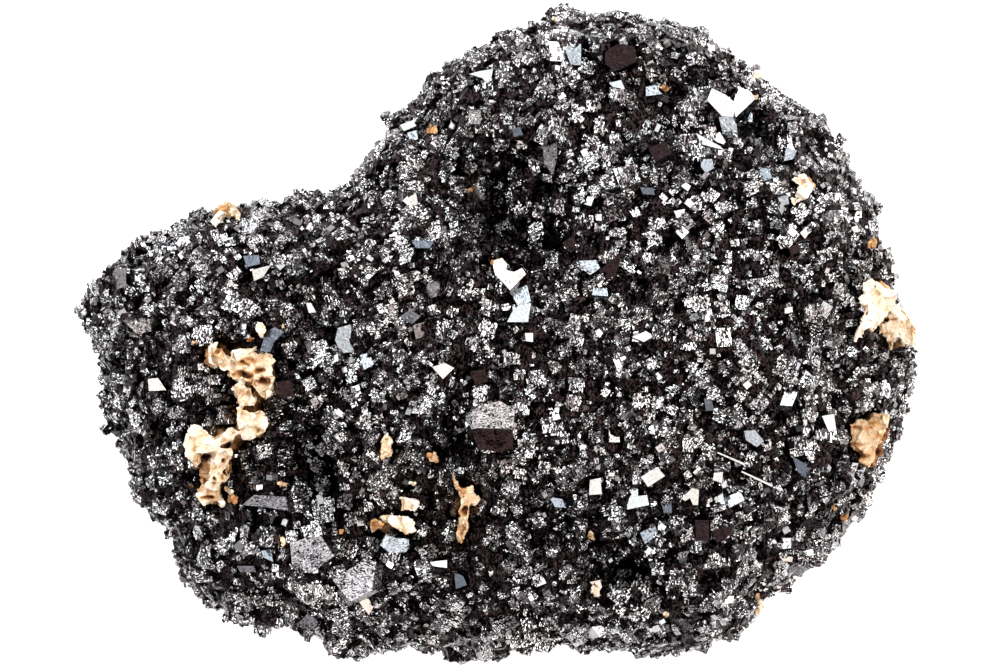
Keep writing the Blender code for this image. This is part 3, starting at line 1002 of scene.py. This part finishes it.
# %% Faces drawn by their corners
# each face mirrors a lamp, and its finish's tint paints it bright as a highlight or dark as shade
FACES = [
    # finish, height over the ground in mm, corners in the picture
    ("white", 1.0, [(712, 88), (707, 100), (722, 116), (736, 117), (738, 105), (726, 95)]),
    ("white", 0.8, [(736, 117), (755, 99), (751, 92), (738, 86), (734, 101)]),
    ("pale_blue", 0.5, [(719, 117), (736, 117), (738, 140), (724, 140)]),
    ("pale_blue", 0.3, [(741, 126), (752, 111), (753, 125), (745, 135)]),
    ("white", 0.5, [(696, 133), (720, 146), (724, 150), (701, 144)]),
    ("white", 0.6, [(710, 136), (720, 132), (728, 146), (717, 142)]),
    ("cream", 1.0, [(492, 261), (502, 258), (507, 264), (506, 270), (514, 272), (522, 268), (526, 274),
                    (510, 290), (495, 274)]),
    ("pale_blue", 0.6, [(510, 292), (527, 285), (531, 302), (518, 306)]),
    ("white", 0.4, [(518, 306), (531, 303), (528, 322), (507, 322), (512, 312)]),
    ("pale_blue", 0.7, [(579, 261), (596, 260), (600, 268), (590, 275), (581, 268)]),
    ("white", 0.6, [(588, 196), (594, 198), (591, 206), (584, 204)]),
    ("cream", 0.6, [(409, 197), (416, 193), (418, 204), (411, 207)]),
    ("grey", 0.6, [(429, 282), (439, 281), (441, 295), (431, 298), (426, 287)]),
    ("grey", 0.5, [(410, 310), (421, 316), (412, 324), (399, 317)]),
    ("brown", 0.9, [(607, 264), (623, 249), (616, 276), (603, 280), (599, 270)]),
    ("brown", 0.8, [(562, 243), (574, 235), (577, 247), (571, 253)]),
    ("pale_blue", 0.6, [(593, 288), (607, 288), (608, 296), (592, 295)]),
    ("blue", 0.6, [(640, 187), (653, 188), (655, 195), (643, 194)]),
    ("white", 0.7, [(632, 337), (646, 331), (654, 336), (644, 342)]),
    ("cream", 0.7, [(432, 367), (445, 363), (454, 368), (443, 379)]),
    ("blue", 0.6, [(411, 240), (434, 241), (430, 248), (416, 248)]),
    ("white", 0.6, [(525, 333), (533, 333), (533, 342), (526, 341)]),
    ("white", 0.7, [(786, 388), (799, 390), (792, 406), (780, 405)]),
    ("white", 0.8, [(822, 416), (834, 414), (836, 429), (829, 432)]),
    ("pale_blue", 0.7, [(744, 431), (755, 430), (764, 441), (757, 447), (746, 440)]),
    ("blue", 0.6, [(704, 398), (712, 401), (714, 410), (706, 411)]),
    ("blue", 0.5, [(792, 456), (807, 465), (806, 478), (798, 472)]),
    ("white", 0.7, [(714, 473), (723, 472), (722, 483), (713, 480)]),
    ("white", 0.6, [(715, 487), (721, 487), (725, 504), (720, 504)]),
    ("grey", 0.5, [(805, 486), (813, 487), (809, 510)]),
    ("white", 1.0, [(641, 477), (652, 470), (657, 467), (665, 476), (648, 487)]),
    ("white", 0.8, [(619, 499), (634, 483), (638, 488), (638, 496), (647, 495), (649, 505), (625, 510)]),
    ("white", 0.6, [(650, 497), (656, 500), (657, 505), (651, 507)]),
    ("blue", 0.4, [(662, 505), (671, 502), (672, 512), (664, 513)]),
    ("cream", 0.7, [(682, 498), (692, 488), (699, 490), (698, 505), (693, 505), (690, 498), (685, 501)]),
    ("blue", 0.8, [(266, 332), (275, 327), (284, 332), (274, 342), (270, 352), (260, 351)]),
    ("cream", 0.7, [(252, 270), (271, 265), (263, 277), (254, 281)]),
    ("blue", 0.6, [(243, 256), (259, 255), (260, 264), (247, 267)]),
    ("etched", 0.7, [(127, 324), (141, 318), (157, 320), (153, 331), (137, 334)]),
    ("cream", 0.9, [(148, 379), (158, 378), (166, 390), (149, 391)]),
    ("white", 0.6, [(306, 303), (311, 303), (316, 312), (309, 313)]),
    ("grey", 0.6, [(114, 270), (126, 268), (126, 286), (118, 289)]),
    ("pale_blue", 0.9, [(387, 533), (395, 538), (416, 539), (406, 552), (390, 553), (380, 545)]),
    ("white", 0.6, [(430, 562), (447, 560), (447, 568), (433, 566)]),
    ("blue", 0.6, [(454, 572), (463, 576), (467, 585), (456, 589)]),
    ("pale_blue", 0.6, [(549, 497), (562, 499), (566, 508), (555, 507)]),
    ("white", 0.6, [(590, 480), (600, 478), (602, 494), (589, 495)]),
    ("pale_blue", 0.7, [(701, 159), (712, 159), (714, 168), (706, 173), (701, 167)]),
    ("white", 0.6, [(674, 211), (685, 209), (684, 216), (677, 218)]),
    ("white", 0.5, [(674, 226), (681, 225), (689, 232), (682, 239), (677, 233)]),
    ("pale_blue", 0.7, [(755, 166), (769, 169), (772, 178), (762, 182)]),
    ("pale_blue", 0.7, [(786, 148), (797, 150), (793, 159), (784, 161)]),
    ("pale_blue", 0.6, [(778, 198), (788, 195), (789, 204), (781, 206)]),
    ("white", 0.6, [(800, 233), (805, 228), (809, 233), (805, 239)]),
    ("cream", 0.6, [(777, 241), (784, 238), (786, 247), (781, 249)]),
    ("brown", 0.6, [(788, 245), (798, 245), (800, 252), (791, 255)]),
    ("cream", 0.6, [(683, 181), (691, 186), (688, 191), (681, 186)]),
    ("pale_blue", 0.7, [(640, 533), (655, 525), (657, 535), (645, 544)]),
    ("brown", 1.0, [(695, 520), (709, 520), (709, 542), (696, 540)]),
    ("brown", 0.8, [(712, 531), (735, 525), (728, 537), (717, 543)]),
    ("white", 0.7, [(762, 538), (774, 538), (777, 543), (764, 546)]),
    ("white", 0.7, [(778, 538), (791, 538), (791, 548), (783, 549)]),
    ("white", 0.6, [(757, 549), (767, 550), (769, 555), (759, 557)]),
    ("cream", 0.6, [(780, 556), (793, 557), (792, 562), (783, 561)]),
    ("grey", 0.6, [(678, 553), (690, 550), (686, 557), (679, 559)]),
    ("grey", 0.8, [(793, 576), (788, 569), (808, 553), (815, 557), (810, 569), (798, 576)]),
    ("cream", 0.3, [(590, 582), (600, 580), (602, 587), (597, 595), (590, 593)]),
    ("white", 0.6, [(592, 627), (605, 625), (609, 631), (600, 637)]),
    ("grey", 0.9, [(242, 505), (254, 495), (286, 497), (288, 511), (265, 507)]),
    ("etched", 0.7, [(290, 543), (306, 538), (321, 536), (334, 556), (311, 574), (292, 564)]),
    ("pale_blue", 0.6, [(261, 551), (271, 549), (273, 562), (263, 557)]),
    ("grey", 0.6, [(237, 566), (254, 566), (256, 572), (240, 572)]),
    ("etched", 0.8, [(335, 560), (355, 556), (376, 562), (372, 590), (350, 602), (333, 580)]),
    ("cream", 0.6, [(359, 602), (367, 597), (374, 606), (369, 615)]),
    ("white", 0.6, [(382, 595), (390, 602), (384, 610)]),
    ("grey", 0.6, [(336, 591), (344, 589), (353, 604), (349, 607)]),
    ("grey", 0.7, [(298, 624), (309, 612), (318, 622), (315, 629)]),
    ("pale_blue", 0.8, [(565, 49), (575, 42), (581, 44), (581, 65), (571, 65)]),
    ("brown", 1.1, [(605, 51), (620, 43), (634, 47), (636, 62), (616, 71), (605, 64)]),
    ("white", 0.7, [(469, 74), (480, 71), (493, 69), (490, 85), (482, 78)]),
    ("white", 0.7, [(609, 83), (621, 80), (625, 89), (613, 87)]),
    ("pale_blue", 0.6, [(646, 87), (654, 85), (662, 94), (646, 96)]),
    ("blue", 0.6, [(512, 129), (520, 127), (523, 135), (514, 137)]),
    ("white", 0.6, [(400, 125), (416, 119), (416, 126), (404, 131)]),
    ("pale_blue", 0.6, [(407, 133), (417, 130), (418, 139), (411, 142)]),
    ("grey", 0.8, [(543, 149), (557, 142), (557, 158), (553, 174), (544, 164)]),
    ("brown", 0.8, [(648, 147), (666, 142), (671, 153), (655, 162)]),
    ("pale_blue", 0.9, [(338, 328), (352, 324), (350, 340), (356, 352), (341, 353), (335, 340)]),
    ("pale_blue", 0.7, [(360, 355), (369, 353), (374, 364), (364, 370)]),
    ("brown", 0.7, [(276, 382), (292, 380), (294, 396), (280, 398)]),
    ("brown", 0.7, [(470, 372), (484, 369), (489, 381), (476, 386)]),
    ("white", 0.5, [(741, 472), (742, 471), (773, 485), (772, 487)]),
    ("white", 0.5, [(717, 453), (718, 452), (751, 466), (750, 468)]),
    ("etched", 1.6, [(473, 416), (480, 405), (500, 401), (515, 410), (513, 429), (479, 428)]),
]
BROWN_CUBE_FRONT = [(472, 433), (479, 429), (513, 430), (513, 448), (500, 452), (478, 449)]
BROWN_CUBE_HEIGHT = 1.2
print("drawn faces:", len(FACES) + 1)

# %% [markdown]
# ## From faces to crystals
#
# Each face gets its plane and its depth here. All faces of one finish are gathered in one mesh, and the
# finish still tells them apart, because it draws its numbers anew for every island. The brown cube shows
# two faces: one is in the list, and the other leans toward the warm lamp.

# %% Carry the corners onto mirroring planes
FACE_DEPTH = 1.0 * MM


def mirror_tilt(out):
    """Of the tilts that throw a lamp into the camera, the one most like the ground's own."""
    halfway = [(toward_lamp(name) + Vector((0.0, 0.0, 1.0))).normalized() for name in LAMPS]
    return max(halfway, key=out.dot)


def drawn_crystal(shape, outline, height, facing=None):
    """Adds a crystal with its outer face over the given outline in the picture."""
    spot, out = ground_under(*np.mean(outline, axis=0))
    facing = facing or mirror_tilt(out)
    level = spot + Vector((0.0, 0.0, height * MM))
    outer = []
    for column, row in outline:
        ray = sight_line(column, row)
        reach = (level - camera.location).dot(facing) / ray.dot(facing)
        outer.append(camera.location + ray * reach)
    if (outer[1] - outer[0]).cross(outer[2] - outer[1]).dot(facing) < 0:
        outer.reverse()
    turn = facing.to_track_quat("Z", "Y").to_matrix()
    start = len(shape["corners"])
    count = len(outer)
    for corner in outer + [corner - facing * FACE_DEPTH for corner in outer]:
        shape["corners"].append(corner)
        shape["lattice"].append(turn.transposed() @ corner)
    shape["faces"].append([start + i for i in range(count)])
    shape["faces"].append([start + count + i for i in reversed(range(count))])
    for i in range(count):
        following = (i + 1) % count
        shape["faces"].append([start + i, start + count + i, start + count + following, start + following])


drawn = {}
for finish, height, outline in FACES:
    shape = drawn.setdefault(finish, {"corners": [], "lattice": [], "faces": []})
    drawn_crystal(shape, outline, height)
toward_warm = (toward_lamp("warm_light") + Vector((0.0, 0.0, 1.0))).normalized()
drawn_crystal(drawn["brown"], BROWN_CUBE_FRONT, BROWN_CUBE_HEIGHT, toward_warm)
drawn_pieces = []
for finish, shape in drawn.items():
    mesh = bpy.data.meshes.new(f"{finish}_faces")
    mesh.from_pydata(keep_inside(np.array(shape["corners"])).tolist(), [], shape["faces"])
    mesh.materials.append(face_finishes[finish])
    set_lattice(mesh, np.array(shape["lattice"]))
    piece = add_object(f"{finish}_faces", mesh)
    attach(piece, "root")
    drawn_pieces.append(piece)
print("pieces of drawn faces:", [piece.name for piece in drawn_pieces])

# %% [markdown]
# ## Where crystals may grow
#
# Crystals are scattered over the ground by area, so that every square millimetre gets its share. Places
# in the matrix are dropped, and so are most of those over it or over a drawn face, because they would
# hide it. A few are let through, since no face in the photograph is quite free of its neighbours.

# %% Even places on the ground
OVERLAP_SHARE = 0.16
LOOK_DOWN_FROM = 4.0 * MM
HIDING_SHARE = 0.8
matrix_tree = triangle_tree(matrix_pieces)
kept_free_tree = triangle_tree(matrix_pieces + drawn_pieces)
rock.data.calc_loop_triangles()
ground_faces = np.array([face.vertices[:] for face in rock.data.loop_triangles])
ground_points = corners_of(rock.data)
first, second, third = (ground_points[ground_faces[:, corner]] for corner in range(3))
ground_normals = np.cross(second - first, third - first)
ground_areas = np.linalg.norm(ground_normals, axis=1)
ground_normals /= np.maximum(ground_areas[:, None], 1e-18)
ground_chances = ground_areas / ground_areas.sum()


def places_on_ground(count):
    """Random places spread evenly over the ground, with the way out of it at each."""
    chosen = rng.choice(len(ground_faces), count, p=ground_chances)
    along, across = np.sort(rng.random((2, count)), axis=0)[:, :, None]
    spots = first[chosen] * along + second[chosen] * (across - along) + third[chosen] * (1.0 - across)
    return spots, ground_normals[chosen]


def may_grow(spots, sizes, gap):
    """Marks the crystals that stand clear of the matrix and hide neither it nor a drawn face."""
    down = Vector((0.0, 0.0, -1.0))
    marks = []
    for spot, size in zip(spots, sizes):
        touching = matrix_tree.find_nearest(Vector(spot), gap)[0] is not None
        above = Vector(spot) + Vector((0.0, 0.0, LOOK_DOWN_FROM))
        hit, _, _, _ = kept_free_tree.ray_cast(above, down, 2 * LOOK_DOWN_FROM)
        hiding = hit is not None and hit.z < spot[2] + HIDING_SHARE * size
        marks.append(not touching and (not hiding or rng.random() < OVERLAP_SHARE))
    return np.array(marks)


print("ground area in square mm:", round(ground_areas.sum() / 2 / MM**2))

# %% [markdown]
# ## Parent crystals
#
# The grain that the eye sees first is about a millimetre or two across. Those crystals are laid down
# first, each at least a grain's width from the others, so that the cover is even without being regular.

# %% Parent crystals a millimetre or two across
PARENT_TRIES = 16000
PARENT_SPACING = 1.12 * MM
PARENT_SIZES = (0.75 * MM, 1.75 * MM)
MATRIX_GAP = 0.40 * MM
LOWEST_PARENT = 0.8 * MM

tried, tried_out = places_on_ground(PARENT_TRIES)
spread = PARENT_SPACING * rng.uniform(0.8, 1.35, PARENT_TRIES)
kept, grid = [], {}
for index, (spot, room) in enumerate(zip(tried, spread)):
    cell = tuple((spot // (2 * PARENT_SPACING)).astype(int))
    near = [
        other
        for dx in (-1, 0, 1)
        for dy in (-1, 0, 1)
        for dz in (-1, 0, 1)
        for other in grid.get((cell[0] + dx, cell[1] + dy, cell[2] + dz), ())
    ]
    if all(((spot - tried[other]) ** 2).sum() > room**2 for other in near):
        kept.append(index)
        grid.setdefault(cell, []).append(index)
parent_spots, parent_out = tried[kept], tried_out[kept]
free = may_grow(parent_spots, np.full(len(parent_spots), PARENT_SIZES[1]), MATRIX_GAP)
free &= parent_spots[:, 2] > LOWEST_PARENT
parent_spots, parent_out = parent_spots[free], parent_out[free]
parents = len(parent_spots)
print("places for parent crystals:", parents)

# %% [markdown]
# ## Clumps that share a lattice
#
# Neighbours in the real specimen often grew on one another and point almost the same way. So each clump a
# few millimetres across gets one turn, its crystals differ from it by some degrees, and every fourth
# crystal or so is a stray with a turn of its own. Near the rim the crystals are smaller.

# %% Turn, size and sink the parents
CLUMP_SIZE = 3.0 * MM
CLUMP_TILT = 10.0
STRAY_SHARE = 0.25
PARENT_SINK = 0.30
RIM_SINK = -0.1
MOSTLY_SMALL = (1.3, 2.6)

clump_seeds = KDTree(parents)
seeds = []
for index, spot in enumerate(parent_spots):
    if all(((spot - parent_spots[other]) ** 2).sum() > CLUMP_SIZE**2 for other in seeds):
        seeds.append(index)
        clump_seeds.insert(spot, len(seeds) - 1)
clump_seeds.balance()
clump_of = np.array([clump_seeds.find(spot)[1] for spot in parent_spots])
parent_turns = random_turns(len(seeds))[clump_of] @ small_turns(parents, CLUMP_TILT)
stray = rng.random(parents) < STRAY_SHARE
parent_turns[stray] = random_turns(stray.sum())
at_rim = np.clip(0.55 + 0.75 * parent_out[:, 2], 0.55, 1.0)
parent_size = PARENT_SIZES[0] + (PARENT_SIZES[1] - PARENT_SIZES[0]) * rng.beta(*MOSTLY_SMALL, parents)
parent_size *= at_rim
parent_sides = parent_size[:, None] * rng.uniform(0.75, 1.1, (parents, 3))
sink = PARENT_SINK * np.clip(2.5 * parent_out[:, 2], RIM_SINK, 1.0)
parent_middles = parent_spots - parent_out * (sink * parent_size)[:, None]
crystal_piece("parent_crystals", parent_middles, parent_turns, parent_sides, parent_black)

# %% [markdown]
# ## Stepped growth on the parents
#
# Each parent carries a crowd of smaller crystals that lie almost parallel to it, because they grew on its
# lattice. Some sit on its three outer faces and stand a little proud, which makes the steps, and some
# stand on the ground round its foot. When the parent's direction mirrors a lamp, the whole crowd glints
# together, and that is what gives the specimen its patches of sparkle.

# %% Nearly parallel crystals on each parent
STEPS_ON_PARENT = 13
STEP_SHARES = (0.15, 0.46)
STEP_TILT = 12.0
BARE_SHARE = 0.06

covered = rng.random(parents) > BARE_SHARE
on_parent = np.repeat(np.flatnonzero(covered), STEPS_ON_PARENT)
count = len(on_parent)
facing = np.einsum("nij,ni->nj", parent_turns[on_parent], parent_out[on_parent])
weights = np.maximum(np.abs(facing), 0.15) * rng.random((count, 3)) ** 0.5
axis = weights.argmax(axis=1)
side_sign = np.sign(facing[np.arange(count), axis])
local = rng.uniform(-0.5, 0.5, (count, 3))
local[np.arange(count), axis] = 0.5 * side_sign
local *= parent_sides[on_parent]
step_size = parent_size[on_parent] * rng.uniform(*STEP_SHARES, count)
local[np.arange(count), axis] += side_sign * step_size * rng.uniform(-0.42, 0.05, count)
on_middles = parent_middles[on_parent] + np.einsum("nij,nj->ni", parent_turns[on_parent], local)
on_turns = parent_turns[on_parent] @ small_turns(count, STEP_TILT)
on_sides = step_size[:, None] * rng.uniform(0.6, 1.25, (count, 3))
print("crystals on the parents:", count)

# %% [markdown]
# ## Small crystals round each foot
#
# The ground between the parents is strewn with small crystals too. Each takes roughly the turn of the
# parent nearest to it. Many are darkened with painted shade, which sets the bright parents off.

# %% Small crystals on the ground
STEPS_ROUND_PARENT = 7
FOOT_SIZES = (0.20 * MM, 0.55 * MM)
FOOT_PAINTED_SHADE = (0.0, 0.7)
MIDDLING = (1.4, 1.6)

foot_spots, foot_out = places_on_ground(STEPS_ROUND_PARENT * parents)
tree = KDTree(parents)
for index, spot in enumerate(parent_spots):
    tree.insert(spot, index)
tree.balance()
nearest = np.array([tree.find(spot)[1] for spot in foot_spots])
foot_size = FOOT_SIZES[0] + (FOOT_SIZES[1] - FOOT_SIZES[0]) * rng.beta(*MIDDLING, len(foot_spots))
foot_turns = parent_turns[nearest] @ small_turns(len(foot_spots), 1.5 * STEP_TILT)
foot_sides = foot_size[:, None] * rng.uniform(0.6, 1.3, (len(foot_spots), 3))
foot_middles = foot_spots + foot_out * (foot_size * rng.uniform(-0.15, 0.3, len(foot_spots)))[:, None]
print("crystals round the parents:", len(foot_spots))

# %% [markdown]
# ## Grow what may grow
#
# All the small crystals are tested for their place together. They are then split by quarters of the
# specimen, so that no mesh gets too large.

# %% The stepped crystals, quarter by quarter
STEP_GAP = 0.12 * MM
LOWEST_STEP = 0.15 * MM

middles = np.concatenate([on_middles, foot_middles])
turns = np.concatenate([on_turns, foot_turns])
sides = np.concatenate([on_sides, foot_sides])
# painted shade: none on the parents' steps, a random amount on the crystals round their feet
painted_shade = np.concatenate([np.zeros(count), rng.uniform(*FOOT_PAINTED_SHADE, len(foot_spots))])
allowed = may_grow(middles, sides.max(axis=1), STEP_GAP) & (middles[:, 2] > LOWEST_STEP)
middles, turns, sides, painted_shade = middles[allowed], turns[allowed], sides[allowed], painted_shade[allowed]
right = middles[:, 0] > 0
upper = middles[:, 1] > 0
QUARTERS = {
    "upper_right": right & upper,
    "upper_left": ~right & upper,
    "lower_left": ~right & ~upper,
    "lower_right": right & ~upper,
}
for quarter, inside in QUARTERS.items():
    crowd = (middles[inside], turns[inside], sides[inside])
    crystal_piece(f"stepped_crystals_{quarter}", *crowd, etched_black, painted_shade[inside])
